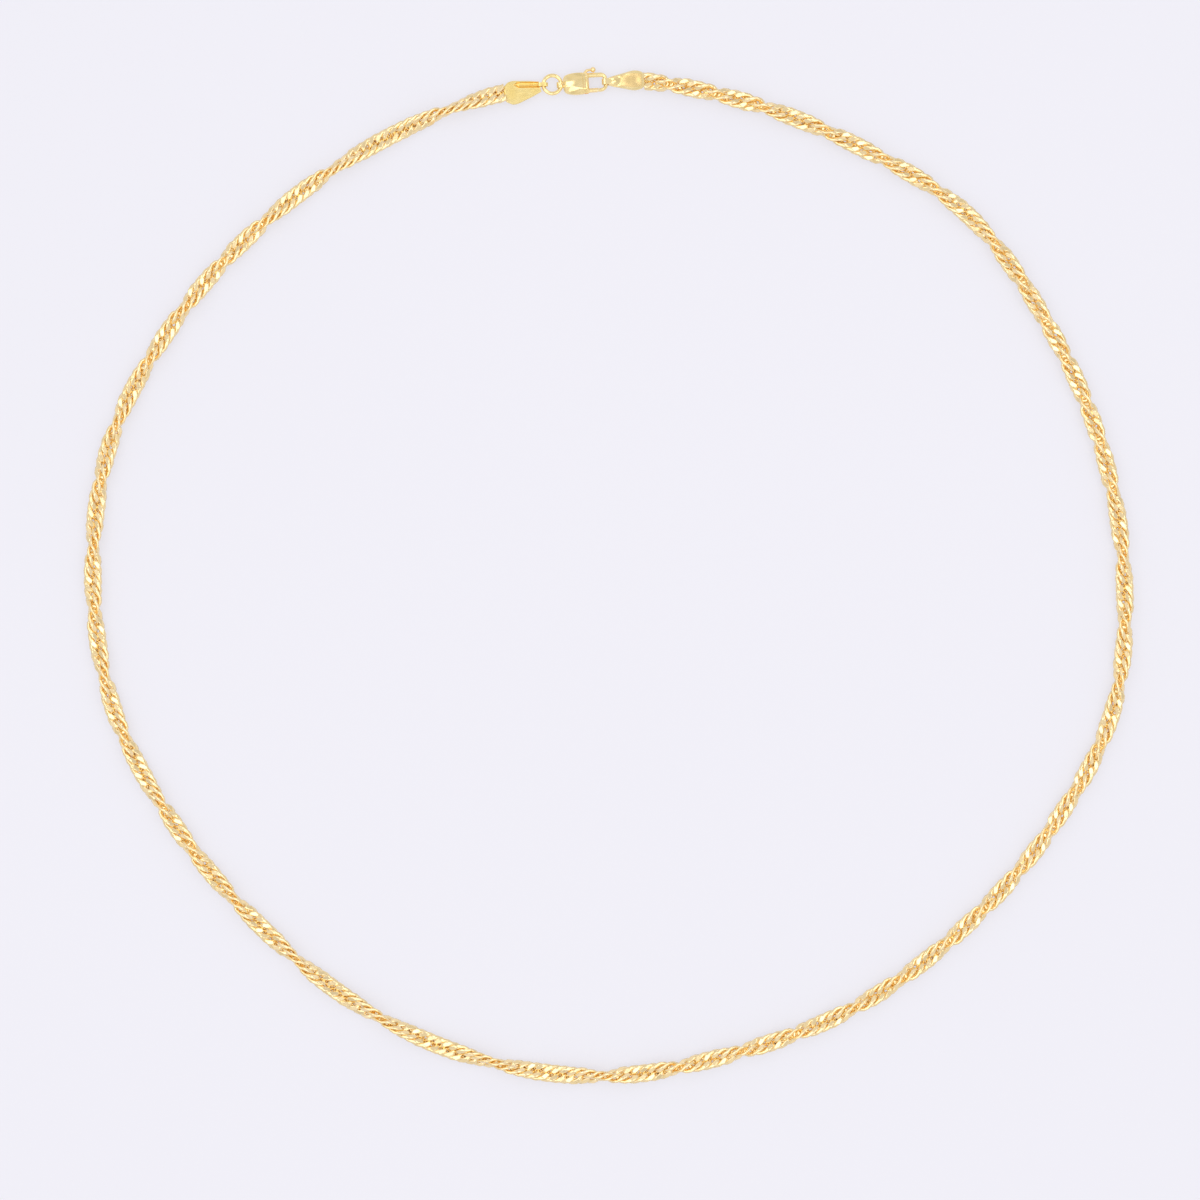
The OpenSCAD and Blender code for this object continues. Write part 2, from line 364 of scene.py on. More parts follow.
# One shape taken out of another
def cutAway(bm, cutter):
    blocks = []
    for name, shape in (("block", bm), ("cutter", cutter)):
        bmesh.ops.recalc_face_normals(shape, faces=shape.faces)
        mesh = bpy.data.meshes.new(name)
        shape.to_mesh(mesh)
        blocks.append(bpy.data.objects.new(name, mesh))
        bpy.context.scene.collection.objects.link(blocks[-1])
    cut = blocks[0].modifiers.new("cut", "BOOLEAN")
    cut.object = blocks[1]
    cut.operation = "DIFFERENCE"
    cut.solver = "EXACT"
    done = blocks[0].evaluated_get(bpy.context.evaluated_depsgraph_get()).to_mesh()
    bm.clear()
    bm.from_mesh(done)
    cutter.free()
    for block in blocks:
        mesh = block.data
        bpy.data.objects.remove(block)
        bpy.data.meshes.remove(mesh)


# Moves what was drawn about its own middle to its place in the necklace
def setDown(bm, x, y, turn):
    place = Matrix.Translation((x, y, clasp["midHeight"])) @ Matrix.Rotation(math.radians(turn), 4, "Z")
    bmesh.ops.transform(bm, matrix=place, verts=bm.verts)


def finishPiece(bm, name, materials, body, node):
    bmesh.ops.recalc_face_normals(bm, faces=bm.faces)
    bmesh.ops.scale(bm, vec=(mm, mm, mm), verts=bm.verts)
    mesh = bpy.data.meshes.new(name)
    bm.to_mesh(mesh)
    bm.free()
    for material in materials:
        mesh.materials.append(material)
    piece = bpy.data.objects.new(name, mesh)
    bpy.context.scene.collection.objects.link(piece)
    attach(piece, body)
    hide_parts(node)
    print(name, len(mesh.polygons), "faces")


# The run of links. Its route and the places where it stands on edge are the part's own, in
# degrees clockwise from the top.

chain = {
    "middle": (-0.06, -0.2),
    "routeStep": 15,
    "radius": [  # one for each step of the route
        79.5, 79, 79.5, 81.5, 81, 81.5,
        82.5, 83.5, 81.5, 80, 79.5, 79,
        80, 80, 79.5, 79, 80, 82,
        82.5, 82.5, 80.5, 79, 78.5, 79,
    ],
    "edgeOn": [
        7, 12.5, 18, 26, 33.5, 40, 49, 54.5, 59.5, 64, 70, 74.5,
        80, 87.5, 95, 101.5, 109, 114.5, 120, 125.5, 131.5, 137, 144, 150,
        157.5, 164, 171.5, 180, 192.5, 207, 219, 229, 236.5, 242.5, 251.5, 258.5,
        266, 273, 280.5, 287, 295, 302, 309, 315.5, 325, 340.5,
    ],
    "height": 1.5,
    "from": 3.8,
    "to": 348.3,
    "tabEnds": [(5.57, 79.23, 3), (-16.5, 76.86, 193)],  # where the end links are cut off
    "cutReach": 6,  # how far round such a place the cut works
    "pitch": 1.3,
    "rest": 0.05,  # how much the twist slows down where the chain lies flat
}

link = {
    "spinRadius": 5,  # of the plain ring that the link is drawn out from
    "halfLength": 1.65,
    "halfWidth": 1.05,
    "saddle": -0.38,
    "saddleFlat": 0.12,  # flattens the saddle's tops, which makes the cuts in them longer
    "wireHalfWide": 0.46,
    "wireHalfThick": 0.25,
    "cut": 0.5,
    "segments": 14,
    "sides": 6,
    "lean": 4,  # how far a link leans, at most, from its place in the run, in degrees
    "leanSteps": (5.1, 3.7, 2.3),  # how the lean about each axis changes from link to link
}


def smoothCurve(a, b, c, d, f):
    return b + 0.5 * f * (c - a + f * (2 * a - 5 * b + 4 * c - d + f * (3 * (b - c) + d - a)))


def routePoint(angle):
    radius = chain["radius"]
    step = angle / chain["routeStep"]
    i = math.floor(step)
    a, b, c, d = (radius[(i + k) % len(radius)] for k in (-1, 0, 1, 2))
    r = smoothCurve(a, b, c, d, step - i)
    x, y = chain["middle"]
    turn = math.radians(angle)
    return Vector((x + r * math.sin(turn), y + r * math.cos(turn), chain["height"]))


# Turn of the chain's face about its own length: half a turn from one edge-on place to the next
def twistAt(angle):
    edgeOn = chain["edgeOn"]
    i = sum(1 for place in edgeOn if place <= angle) - 1
    i = min(max(i, 0), len(edgeOn) - 2)
    share = (angle - edgeOn[i]) / (edgeOn[i + 1] - edgeOn[i])
    share += chain["rest"] * math.sin(2 * math.pi * share)
    return math.radians(90 + 180 * (i + share))


# Equal steps along the route, each as the matrix that puts a link there
def linkPlaces():
    stepsPerDegree = 50
    count = round((chain["to"] - chain["from"]) * stepsPerDegree)
    angles = [chain["from"] + k / stepsPerDegree for k in range(count + 1)]
    points = [routePoint(angle) for angle in angles]
    run = [0.0]
    for a, b in zip(points, points[1:]):
        run.append(run[-1] + (b - a).length)
    links = round(run[-1] / chain["pitch"])
    places = []
    k = 0
    for n in range(links + 1):
        want = run[-1] * n / links
        while run[k + 1] < want and k < count - 1:
            k += 1
        along = (points[k + 1] - points[k]).normalized()
        outward = Vector((-along.y, along.x, 0))
        turn = twistAt(angles[k])
        up = Vector((0, 0, 1))
        across = outward * math.cos(turn) + up * math.sin(turn)
        upright = up * math.cos(turn) - outward * math.sin(turn)
        spot = points[k].lerp(points[k + 1], (want - run[k]) / (run[k + 1] - run[k]))
        basis = Matrix((along, across, upright)).transposed().to_4x4()
        lean = Euler([math.radians(link["lean"]) * math.sin(n * step) for step in link["leanSteps"]])
        places.append(Matrix.Translation(spot) @ basis @ lean.to_matrix().to_4x4())
    return places


# One link: a wire of oval section spun into a ring, drawn out to an oval, bent like a saddle,
# and cut flat where the saddle stands highest, above and below
def makeLink():
    bm = bmesh.new()
    wireRing(bm, link["spinRadius"], 1, link["sides"], link["segments"])
    a, b, c, flat = (link[key] for key in ("halfLength", "halfWidth", "saddle", "saddleFlat"))
    for vert in bm.verts:
        t = math.atan2(vert.co.y, vert.co.x)
        out = math.hypot(vert.co.x, vert.co.y) - link["spinRadius"]
        lift = vert.co.z
        height = c * (math.sin(2 * t) + flat * math.sin(6 * t))
        slope = c * (2 * math.cos(2 * t) + 6 * flat * math.cos(6 * t))
        middle = Vector((a * math.cos(t), b * math.sin(t), height))
        along = Vector((-a * math.sin(t), b * math.cos(t), slope)).normalized()
        side = along.cross(Vector((0, 0, 1))).normalized()
        up = side.cross(along)
        vert.co = middle + side * out * link["wireHalfWide"] + up * lift * link["wireHalfThick"]
    for side in (1, -1):
        everything = bm.verts[:] + bm.edges[:] + bm.faces[:]
        cutOff(bm, everything, (0, 0, side * link["cut"]), (0, 0, side))
    bmesh.ops.recalc_face_normals(bm, faces=bm.faces)
    for face in bm.faces:
        face.smooth = abs(face.normal.z) < 0.999  # only the two cuts are quite level
    for edge in bm.edges:
        edge.smooth = all(face.smooth for face in edge.link_faces)
    mesh = bpy.data.meshes.new("link")
    bm.to_mesh(mesh)
    bm.free()
    return mesh


def makeChain():
    one = makeLink()
    bm = bmesh.new()
    for place in linkPlaces():
        copy = one.copy()
        copy.transform(place)
        bm.from_mesh(copy)
        bpy.data.meshes.remove(copy)
    bpy.data.meshes.remove(one)
    for x, y, turn in chain["tabEnds"]:
        end = Vector((x, y, 0))
        into = Matrix.Rotation(math.radians(turn), 3, "Z") @ Vector((-1, 0, 0))
        near = [vert for vert in bm.verts if (vert.co - end).length < chain["cutReach"]]
        cutOff(bm, near + edgesAt(bm, near) + facesAt(bm, near), end, into)
    finishPiece(bm, "chainLinks", [chainGold], "necklace", "chain")


makeChain()


# The clasp's body: a faceted barrel with a slot for the lever, a tail lug for the jump ring,
# and a round rim that runs on into the hook. It is drawn about the middle of the eye.

clasp = {
    "eye": (-2.16, 78.8),
    "turn": 4,
    "midHeight": 1.05,
    "sideBand": 0.42,  # half the height of the barrel's upright sides
    # place along the clasp, half width of the flat faces, half width at the middle, half thickness
    "barrel": [
        (-5.12, 0.26, 0.8, 0.52), (-5.02, 0.28, 1.15, 0.72), (-4.8, 0.32, 1.4, 0.82),
        (-4.5, 0.38, 1.53, 0.89), (-4.2, 0.44, 1.62, 0.94), (-3.6, 0.56, 1.72, 1.01),
        (-3, 0.68, 1.76, 1.05), (-2.5, 0.79, 1.75, 1.05), (-2.0, 0.9, 1.74, 1.05),
        (-1.94, 0.9, 1.68, 0.95), (-1.54, 0.98, 1.64, 0.94), (-1.48, 1.02, 1.68, 1.02),
        (-1.28, 1.1, 1.64, 0.97), (-1.12, 1.1, 1.56, 0.8), (-1.05, 1.06, 1.5, 0.66),
    ],
    "crease": 0.11,
    "creaseAngle": 15,
    "slotHalf": 0.36,
    # the slot's outline about the pin, from the gate's side round the hub to the arm's swing
    "slot": [
        (-0.08, -3), (0.75, -3), (0.75, 1.34), (0.45, 1.34), (0.45, 3), (-1.73, 3),
        (-0.68, 0.1), (-0.63, -0.26), (-0.48, -0.48), (-0.26, -0.63), (-0.08, -0.67),
    ],
    "pin": (-1.75, -0.5),
    "rimRun": (-1.29, -0.8, -0.2, 0.5),  # places along the rim's straight part
    "rimMiddle": 1.22,
    "rimHalfWide": 0.38,
    "rimHalfThick": 0.48,
    "hookMiddle": 0.72,
    "hookReach": 1.02,
    "hookHalfWide": 0.29,
    "hookSquare": 0.86,  # under 1 the turn is squarer than an ellipse
    "hookEnd": 0.1,
    "hookBelow": -0.5,  # only the hook's far end is lower than this
    "hookTip": 2.28,  # from the pin
    "tipLine": (0.946, -0.318, 0),  # the way from the pin to where hook and gate meet
    "lug": -5.57,
    "lugInner": 0.45,
    "lugOuter": 0.64,
    "lugHalfWide": 0.48,
    "lugRounding": 0.06,
    "neckLength": 0.5,
    "neckPast": 0.1,  # its middle, from the lug's outer edge
    "neckRounding": 0.08,
    "ribs": [-5.2, -5.02, -4.84],
    "ribAcross": [(-0.5, 0.3), (-0.42, 1), (0, 1), (0.42, 1), (0.5, 0.3)],  # and share of the radius
    "ribRadius": 0.075,
    "ribHeight": 0.72,
    "ribRise": 0.55,  # the ribs climb with the tail towards the barrel
    "shadeAngle": 34,
}


def barrelRing(row):
    along, face, side, half = row
    band = clasp["sideBand"]
    corners = [(side, -band), (side, band), (face, half), (-face, half)]
    return [(along, v, w) for v, w in corners + [(-v, -w) for v, w in corners]]


def addBarrel(bm):
    skin(bm, [barrelRing(row) for row in clasp["barrel"]])
    creases = [
        edge for edge in bm.edges
        if edge.calc_face_angle(0) > math.radians(clasp["creaseAngle"])
        and abs((edge.verts[0].co - edge.verts[1].co).normalized().x) > 0.5  # runs lengthwise
    ]
    roundEdges(bm, creases, clasp["crease"], segments=3)
    cutter = bmesh.new()
    x, y = clasp["pin"]
    outline = [(x + u, y + v) for u, v in clasp["slot"]]
    extrudeOutline(cutter, outline, -clasp["slotHalf"], clasp["slotHalf"])
    cutAway(bm, cutter)


def addTail(bm):
    lug, outer, wide = clasp["lug"], clasp["lugOuter"], clasp["lugHalfWide"]
    washer(bm, (lug, 0, 0), (0, 1, 0), clasp["lugInner"], outer, wide)
    # the lug's four round edges, and nothing of the barrel
    rims = [
        edge for edge in bm.edges
        if all(vert.co.x < lug + outer + 0.01 for vert in edge.verts)
        and edge.calc_face_angle(0) > math.radians(60)
    ]
    roundEdges(bm, rims, clasp["lugRounding"], segments=2)
    neck = bmesh.ops.create_cube(bm, size=1)["verts"]
    bmesh.ops.scale(bm, vec=(clasp["neckLength"], 2 * wide, 2 * outer), verts=neck)
    bmesh.ops.translate(bm, vec=(lug + outer + clasp["neckPast"], 0, 0), verts=neck)
    roundEdges(bm, edgesAt(bm, neck), clasp["neckRounding"], segments=2)
    for along in clasp["ribs"]:
        height = clasp["ribHeight"] + clasp["ribRise"] * (along - clasp["ribs"][0])
        points = [(along, v, height) for v, share in clasp["ribAcross"]]
        sizes = [[clasp["ribRadius"] * share] * 2 for v, share in clasp["ribAcross"]]
        sweep(bm, placesAlong(points, sizes, Vector((1, 0, 0))), sides=8)


def addRim(bm):
    wide, thick, narrow = clasp["rimHalfWide"], clasp["rimHalfThick"], clasp["hookHalfWide"]
    points, sizes = [], []
    for u in clasp["rimRun"]:
        points.append((u, clasp["rimMiddle"], 0))
        sizes.append((wide, thick))
    steps = 18
    for k in range(1, steps + 1):
        turn = math.radians(90 - 180 * k / steps)
        across, down = math.cos(turn), math.sin(turn)
        square = clasp["hookSquare"]
        u = clasp["hookMiddle"] + clasp["hookReach"] * abs(across) ** square
        v = math.copysign(clasp["rimMiddle"] * abs(down) ** square, down)
        points.append((u, v, 0))
        share = min(1, 2 * k / steps)
        sizes.append((wide + (narrow - wide) * share, thick))
    points.append((clasp["hookEnd"], -clasp["rimMiddle"], 0))
    sizes.append((narrow, thick))
    before = set(bm.verts)
    sweep(bm, placesAlong(points, sizes, Vector((0, 0, 1))))
    rim = [vert for vert in bm.verts if vert not in before]
    low = [item for item in rim + edgesAt(bm, rim) + facesAt(bm, rim) if belowEye(item)]
    away = Vector(clasp["tipLine"])
    cutOff(bm, low, Vector((*clasp["pin"], 0)) + away * clasp["hookTip"], -away)


def belowEye(item):
    verts = [item] if isinstance(item, bmesh.types.BMVert) else item.verts
    return all(vert.co.y < clasp["hookBelow"] for vert in verts)


def makeClaspBody():
    bm = bmesh.new()
    addBarrel(bm)
    addRim(bm)
    addTail(bm)
    shadeByAngle(bm, clasp["shadeAngle"])
    setDown(bm, *clasp["eye"], clasp["turn"])
    finishPiece(bm, "claspBody", [fittingGold], "necklace", "clasp_body")


makeClaspBody()


# The lever: a hub on the pin, a gate that closes the eye from below, and an arm that comes out
# of the slot and bends along the rim to a round thumb knob

lever = {
    "hubInner": 0.32,
    "hubOuter": 0.6,
    "halfThick": 0.31,
    "gate": [(-1.8, -1.0), (-1.5, -1.14), (-1.0, -1.2), (-0.4, -1.21), (0.2, -1.21), (0.6, -1.21)],
    "gateHalfWide": [0.3, 0.34, 0.35, 0.35, 0.35, 0.35],
    "gateTip": 2.23,  # from the pin
    "arm": [
        (-1.77, -0.06), (-1.73, 0.5), (-1.67, 1.2), (-1.56, 1.72), (-1.28, 2.03), (-0.8, 2.1),
        (-0.3, 2.1),
    ],
    "armHalfWide": [0.25, 0.25, 0.25, 0.24, 0.22, 0.2, 0.2],
    "knob": (-0.25, 2.1),
    "knobRadius": 0.44,
    "shadeAngle": 40,
}


def addBar(bm, path, halfWidths, sides):
    points = [(u, v, 0) for u, v in path]
    sizes = [(wide, lever["halfThick"]) for wide in halfWidths]
    sweep(bm, placesAlong(points, sizes, Vector((0, 0, 1))), sides)


def makeLever():
    bm = bmesh.new()
    pin = Vector((*clasp["pin"], 0))
    away = Vector(clasp["tipLine"])
    addBar(bm, lever["gate"], lever["gateHalfWide"], sides=16)
    everything = bm.verts[:] + bm.edges[:] + bm.faces[:]
    cutOff(bm, everything, pin + away * lever["gateTip"], away)
    addBar(bm, lever["arm"], lever["armHalfWide"], sides=14)
    washer(bm, pin, (0, 0, 1), lever["hubInner"], lever["hubOuter"], lever["halfThick"])
    knob = Matrix.Translation((*lever["knob"], 0))
    bmesh.ops.create_uvsphere(bm, u_segments=20, v_segments=12, radius=lever["knobRadius"], matrix=knob)
    shadeByAngle(bm, lever["shadeAngle"])
    setDown(bm, *clasp["eye"], clasp["turn"])
    finishPiece(bm, "claspLever", [leverGold], "lever", "clasp_lever")


makeLever()


# The jump ring, closed by solder

jumpRing = {
    "middle": (-9.06, 78.5),
    "radius": 1.44,
    "wire": 0.31,
    "sides": 14,
    "segments": 44,
    "shadeAngle": 60,
}


def makeRing():
    bm = bmesh.new()
    wireRing(bm, jumpRing["radius"], jumpRing["wire"], jumpRing["sides"], jumpRing["segments"])
    shadeByAngle(bm, jumpRing["shadeAngle"])
    setDown(bm, *jumpRing["middle"], 0)
    finishPiece(bm, "jumpRing", [fittingGold], "necklace", "jump_ring")


makeRing()


# The two end tabs, each drawn along X from the fold that hangs on the ring or the hook to the
# end where the chain goes in

tabShape = {
    "plateHalf": 0.3,
    "sideEdge": (0.985, 0.7),  # a point that rounds the side, in shares of half width and height
    "underside": (-0.93, -0.5, 0, 0.5, 0.93),  # shares of the half width
    "endRun": 0.1,  # the last rows close in to a rounded end
    "strip": 0.15,  # half the thickness of the folded tongue
    "stripSection": [
        (0.4, 1), (1, 0.93), (1, -0.93), (0.4, -1), (-0.4, -1), (-1, -0.93), (-1, 0.93), (-0.4, 1),
    ],
    "neckFlat": 1.0,
    "neckTo": 2.6,
    "neckIn": 0.15,  # its sides slope from this far inside the tongue's edge
    "neckOut": 0.26,  # to this far outside it
    "foldCorner": 0.42,
    "shadeAngle": 38,
}

rightTab = {
    "name": "endTabRight",
    "node": "end_tab_right",
    "place": (-0.424, 78.921),
    "turn": 3,
    "length": 6.2,
    "halfWide": 1.6,
    # place along the tab and half width there, in shares of length and halfWide
    "edge": [
        (0.07, 0.42), (0.2, 0.56), (0.35, 0.69), (0.51, 0.84),
        (0.65, 0.97), (0.75, 1), (0.88, 0.9), (1, 0.69),
    ],
    "tongue": (0, 0, 0),  # its middle and its turn, on the plate
    "tongueHalf": 0.5,
    "tongueRun": [(0.75, 0.62), (0.65, 0.72)],  # its end, sunk in the plate's neck
    "inside": (-0.412, 0.39, 0.58),  # of the fold: where it bends, where it runs flat, its height
    "rows": [
        0.39, 0.6, 1.0, 1.3, 1.6, 1.8, 2.0, 2.2, 2.4, 2.6, 2.9, 3.2, 3.5, 3.8, 4.1, 4.4, 4.7,
        4.95, 5.15, 5.3, 5.45, 5.6, 5.75, 5.85, 5.95, 6.03, 6.1, 6.15, 6.18, 6.2,
    ],
    "across": (0.95, 0.84, 0.7, 0.5, 0.25, 0, -0.25, -0.5, -0.7, -0.84, -0.95),
    "neck": 0.58,  # how far the neck stands over the plate
    "rim": 0.05,
    "rimRun": (2.2, 3),  # where the rim rises
    "dish": 0.1,
    "dishRun": (1.7, 3.2, 4.4, 5.9),  # where the dish begins, is full, begins to end and ends
    "dishEdge": (0.6, 0.82),  # the slope up to the rim, in shares of the half width
    "dishHalf": 0.72,
    "satinIn": (0.4, 0.1),  # how far inside the dish's two ends its satin finish and painted shade stop
    "satinHalf": 0.68,
    "endRound": 0.45,  # how far from the end its corners begin to round
    "endCut": 0.42,
}

leftTab = {
    "name": "endTabLeft",
    "node": "end_tab_left",
    "place": (-10.496, 78.255),
    "turn": 193,
    "length": 6.35,
    "halfWide": 1.88,
    "edge": [(0.08, 0.46), (0.31, 0.68), (0.55, 0.87), (0.72, 1), (0.86, 0.96), (1, 0.66)],
    "tongue": (-0.046, -0.215, -12),
    "tongueHalf": 0.3,
    "tongueRun": [(0.74, 0.1), (0.7, 0.5), (0.6, 0.56)],
    "inside": (-0.451, 0.41, 0.41),
    "rows": [
        0.51, 0.55, 0.62, 0.66, 0.9, 1.2, 1.5, 1.8, 2.1, 2.5, 2.9, 3.2, 3.5, 3.7, 3.87, 4.0,
        4.13, 4.26, 4.39, 4.52, 4.65, 4.9, 5.2, 5.5, 5.8, 6.05, 6.2, 6.31, 6.35,
    ],
    "neck": 0,
    "endRound": 0.12,
    "endCut": 0.1,
    "tilt": 0.06,
    "tiltRun": (1.5, 3.5),
    "topEdge": 0.95,  # share of the half width where the upper face begins
    "troughAcross": (1.28, 1.14, 1, 0.8, 0.4, 0, -0.4, -0.8, -1, -1.14, -1.28),
    "troughFrom": 0.64,
    "troughStraight": 3.87,
    "troughTo": 4.65,
    "troughMiddle": -0.36,
    "troughTurn": 12,
    "troughHalf": 0.44,
    "troughDepth": 0.3,
    "troughLip": 0.05,  # its edges are drawn up a little
    "lipWide": 0.14,  # share of the trough's half width
    # trough faces above this height get the painted trough shade
    "amberAbove": -0.05,
}


def ease(low, high, x):
    share = min(max((x - low) / (high - low), 0), 1)
    return share * share * (3 - 2 * share)


def halfWidthAt(tab, x):
    edge = tab["edge"]
    share = min(max(x / tab["length"], edge[0][0]), edge[-1][0])
    i = max(k for k in range(len(edge) - 1) if edge[k][0] <= share)
    f = (share - edge[i][0]) / (edge[i + 1][0] - edge[i][0])
    a, b, c, d = (edge[min(max(k, 0), len(edge) - 1)][1] for k in range(i - 1, i + 3))
    end = tab["length"] - x
    corner = 1 - tab["endCut"] * max(0, 1 - end / tab["endRound"]) ** 2
    return smoothCurve(a, b, c, d, f) * tab["halfWide"] * corner


# Height of a tab's face over its own middle plane, before its rim, dish or trough
def neckHeight(tab, x, y):
    fade = 1 - ease(tabShape["neckFlat"], tabShape["neckTo"], x)
    sideIn, sideOut = tab["tongueHalf"] - tabShape["neckIn"], tab["tongueHalf"] + tabShape["neckOut"]
    inside = 1 - ease(sideIn, sideOut, abs(y))
    return tabShape["plateHalf"] + tab["neck"] * fade * inside


def tabRing(tab, x, rowOf):
    half = halfWidthAt(tab, x)
    end = ease(0, tabShape["endRun"], tab["length"] - x)
    sideWide, sideHigh = tabShape["sideEdge"]
    side = half * sideWide
    edgeHigh = tabShape["plateHalf"] * sideHigh * (0.6 + 0.4 * end)
    full = 0.75 + 0.25 * end  # at the very end a tab is three quarters as thick
    upper = [(x, y, tabHeight(tab, x, y, half) * full) for y in rowOf(tab, x, half)]
    lower = [(x, half * k, -neckHeight(tab, x, half * k) * full) for k in tabShape["underside"]]
    return [(x, half, 0), (x, side, edgeHigh)] + upper + [(x, -side, edgeHigh), (x, -half, 0)] + lower


def tabHeight(tab, x, y, half):
    height = neckHeight(tab, x, y)
    share = y / half
    if "dish" in tab:
        start, full, last, stop = tab["dishRun"]
        dished = ease(start, full, x) * (1 - ease(last, stop, x))
        edge = ease(*tab["dishEdge"], abs(share))
        bowl = 1 - min(1, (abs(share) / tab["dishHalf"]) ** 2)
        height += tab["rim"] * (1 - dished * (1 - edge)) * ease(*tab["rimRun"], x)
        return height - tab["dish"] * dished * bowl
    height += tab["tilt"] * share * ease(*tab["tiltRun"], x)
    if not tab["troughFrom"] < x < tab["troughTo"]:
        return height
    middle, wide, point = troughAt(tab, x)
    across = abs(y - middle) / wide
    if across > 1:
        return height + tab["troughLip"] * max(0, 1 - abs(across - 1 - tab["lipWide"]) / tab["lipWide"])
    floor = tabShape["plateHalf"] - tab["troughDepth"] * point
    return floor + (height - floor) * across ** 4  # a flat floor with steep sides


# The trough's middle and half width at a row, and how much of its depth is left there
def troughAt(tab, x):
    x = min(max(x, tab["troughFrom"]), tab["troughTo"])
    middle = tab["troughMiddle"] - math.tan(math.radians(tab["troughTurn"])) * (x - tab["troughFrom"])
    point = 1 - max(0, (x - tab["troughStraight"]) / (tab["troughTo"] - tab["troughStraight"]))
    return middle, tab["troughHalf"] * max(point, 0.1), point


# Where the points of a tab's face stand across it: even shares of the dished tab, and on the
# other a close set of points that follows the trough
def dishedRow(tab, x, half):
    return [half * share for share in tab["across"]]


def troughRow(tab, x, half):
    middle, wide, point = troughAt(tab, x)
    high, low = half * tab["topEdge"], -half * tab["topEdge"]
    inner = [middle + wide * share for share in tab["troughAcross"]]
    inner = [max(y, low + 0.01 * (len(inner) - k)) for k, y in enumerate(inner)]  # kept on the tab
    outer = [inner[0] + (high - inner[0]) * share for share in (1, 0.75, 0.5, 0.25)]
    return outer + inner + [low]


# The tongue: a flat strip folded back under itself, whose ends run into the plate
def addFold(bm, tab):
    start, stop, height = tab["inside"]
    half = tabShape["strip"]
    corner = tabShape["foldCorner"]
    left, high = start - half, height + half
    bend = []
    for turn in range(0, 91, 15):
        a = math.radians(turn)
        bend.append((left + corner - corner * math.sin(a), high - corner + corner * math.cos(a)))
    under = [(x, -z) for x, z in reversed([(stop, high)] + bend)]
    under += [(tabShape["neckFlat"], -high), (tabShape["neckTo"], -tabShape["plateHalf"])]
    points = [(x, 0, z) for x, z in tab["tongueRun"] + [(stop, high)] + bend + under]
    sizes = [(half, tab["tongueHalf"])] * len(points)
    before = set(bm.verts)
    sweep(bm, placesAlong(points, sizes, Vector((0, 1, 0))), corners=tabShape["stripSection"])
    x, y, turn = tab["tongue"]
    place = Matrix.Translation((x, y, 0)) @ Matrix.Rotation(math.radians(turn), 4, "Z")
    bmesh.ops.transform(bm, matrix=place, verts=[vert for vert in bm.verts if vert not in before])


# outer is the finish of the whole tab, inner that of its dish or trough, whose darker tint is painted
# shade
def makeTab(tab, rowOf, isInner, outer, inner):
    bm = bmesh.new()
    skin(bm, [tabRing(tab, x, rowOf) for x in tab["rows"]])
    bm.normal_update()
    for face in bm.faces:
        face.material_index = int(isInner(tab, face))
    addFold(bm, tab)
    shadeByAngle(bm, tabShape["shadeAngle"])
    setDown(bm, *tab["place"], tab["turn"])
    finishPiece(bm, tab["name"], [outer, inner], "necklace", tab["node"])


def inDish(tab, face):
    x, y, z = face.calc_center_median()
    start, stop = tab["dishRun"][0] + tab["satinIn"][0], tab["dishRun"][-1] - tab["satinIn"][1]
    return z > 0 and start < x < stop and abs(y) < tab["satinHalf"] * halfWidthAt(tab, x)


def inTrough(tab, face):
    x, y, z = face.calc_center_median()
    middle, wide = troughAt(tab, x)[:2]
    return z > tab["amberAbove"] and tab["troughFrom"] < x < tab["troughTo"] and abs(y - middle) < wide


# the dish and the trough get darker tints that are painted shade
makeTab(rightTab, dishedRow, inDish, fittingGold, satinShadeGold)
makeTab(leftTab, troughRow, inTrough, tabGold, amberShadeGold)

# The pin keeps its own mesh and only gets a better gold
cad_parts["clasp_pin"].material_slots[0].material = leverGold


# Table, light and sky

studio = {
    "tableSize": 3.0,  # metres, as the lamps' sizes and distance are
    "tableSink": 0.02,  # millimetres under the lowest piece
    "tableRoughness": 0.55,
    "tableClouds": 9.0,
    "tableTint": (0.25, 0.248, 0.27, 1),
    "tableShade": (0.24, 0.238, 0.26, 1),
    "tableGlow": (0.9, 0.89, 0.95, 1),
    "tableGlowPower": 0.645,  # a table lit from beneath as well keeps the shadows faint
    "skyDim": (0.69, 0.68, 0.69, 1),
    "skyBright": (0.92, 0.91, 0.94, 1),
    "skyClouds": 3.1,
    "skyFrom": 0.38,  # where in the noise the dim sky begins to give way to the bright
    "skyTo": 0.62,
    "lampSize": (0.17, 0.36),
    "lampDistance": 0.6,
    "lampPower": 0.225,
    "lamps": [(15, 62), (65, 50), (145, 56), (200, 64), (255, 60), (315, 65)],  # azimuth and height
    "bounces": 6,
}


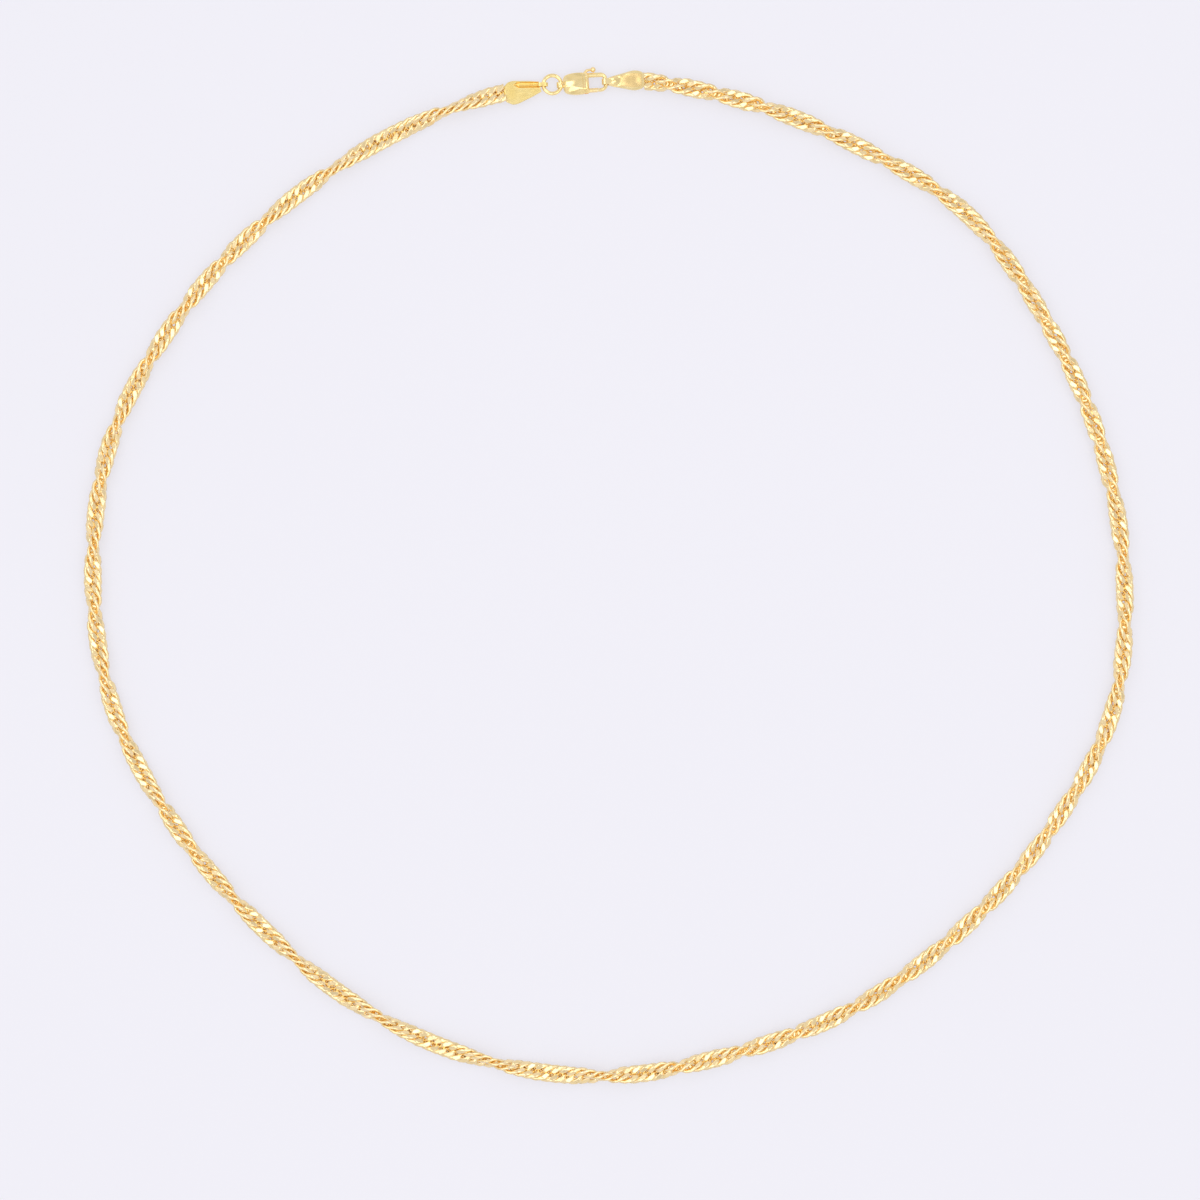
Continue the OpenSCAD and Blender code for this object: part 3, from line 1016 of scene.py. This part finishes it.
def makeTable():
    bm = bmesh.new()
    bmesh.ops.create_grid(bm, x_segments=1, y_segments=1, size=studio["tableSize"] / 2)
    bmesh.ops.translate(bm, vec=(0, 0, -studio["tableSink"] * mm), verts=bm.verts)
    mesh = bpy.data.meshes.new("table")
    bm.to_mesh(mesh)
    bm.free()
    table = bpy.data.objects.new("table", mesh)
    bpy.context.scene.collection.objects.link(table)
    material = bpy.data.materials.new("tableTop")
    material.use_nodes = True
    tree = material.node_tree
    shader = tree.nodes["Principled BSDF"]
    shader.inputs["Roughness"].default_value = studio["tableRoughness"]
    shader.inputs["Emission Color"].default_value = studio["tableGlow"]
    shader.inputs["Emission Strength"].default_value = studio["tableGlowPower"]
    place = tree.nodes.new("ShaderNodeTexCoord")
    clouds = addNode(tree, "ShaderNodeTexNoise", Scale=studio["tableClouds"], Detail=2.0)
    tree.links.new(place.outputs["Object"], clouds.inputs["Vector"])
    tint = tree.nodes.new("ShaderNodeMix")
    tint.data_type = "RGBA"
    tint.inputs["A"].default_value = studio["tableTint"]
    tint.inputs["B"].default_value = studio["tableShade"]
    tree.links.new(clouds.outputs["Fac"], tint.inputs["Factor"])
    tree.links.new(tint.outputs["Result"], shader.inputs["Base Color"])
    mesh.materials.append(material)


def makeSky():
    world = bpy.data.worlds.new("sky")
    world.use_nodes = True
    tree = world.node_tree
    background = tree.nodes["Background"]
    place = tree.nodes.new("ShaderNodeTexCoord")
    clouds = addNode(tree, "ShaderNodeTexNoise", Scale=studio["skyClouds"], Detail=1.0)
    tree.links.new(place.outputs["Generated"], clouds.inputs["Vector"])
    spread = addNode(tree, "ShaderNodeMapRange", From_Min=studio["skyFrom"], From_Max=studio["skyTo"])
    tree.links.new(clouds.outputs["Fac"], spread.inputs["Value"])
    blend = tree.nodes.new("ShaderNodeMix")
    blend.data_type = "RGBA"
    blend.inputs["A"].default_value = studio["skyDim"]
    blend.inputs["B"].default_value = studio["skyBright"]
    tree.links.new(spread.outputs["Result"], blend.inputs["Factor"])
    tree.links.new(blend.outputs["Result"], background.inputs["Color"])
    bpy.context.scene.world = world


def addLamp(number, azimuth, height):
    data = bpy.data.lights.new(f"lamp{number}", "AREA")
    data.shape = "RECTANGLE"
    data.size, data.size_y = studio["lampSize"]
    data.energy = studio["lampPower"]
    lamp = bpy.data.objects.new(data.name, data)
    turn, rise = math.radians(azimuth), math.radians(height)
    aim = Vector((math.cos(turn) * math.cos(rise), math.sin(turn) * math.cos(rise), math.sin(rise)))
    lamp.location = aim * studio["lampDistance"]
    lamp.rotation_euler = aim.to_track_quat("Z", "Y").to_euler()
    bpy.context.scene.collection.objects.link(lamp)


makeTable()
makeSky()
for number, (azimuth, height) in enumerate(studio["lamps"]):
    addLamp(number, azimuth, height)
bpy.context.scene.view_settings.view_transform = "Standard"
bpy.context.scene.cycles.glossy_bounces = studio["bounces"]  # light finds its way down between links
print("table, sky and lamps placed")
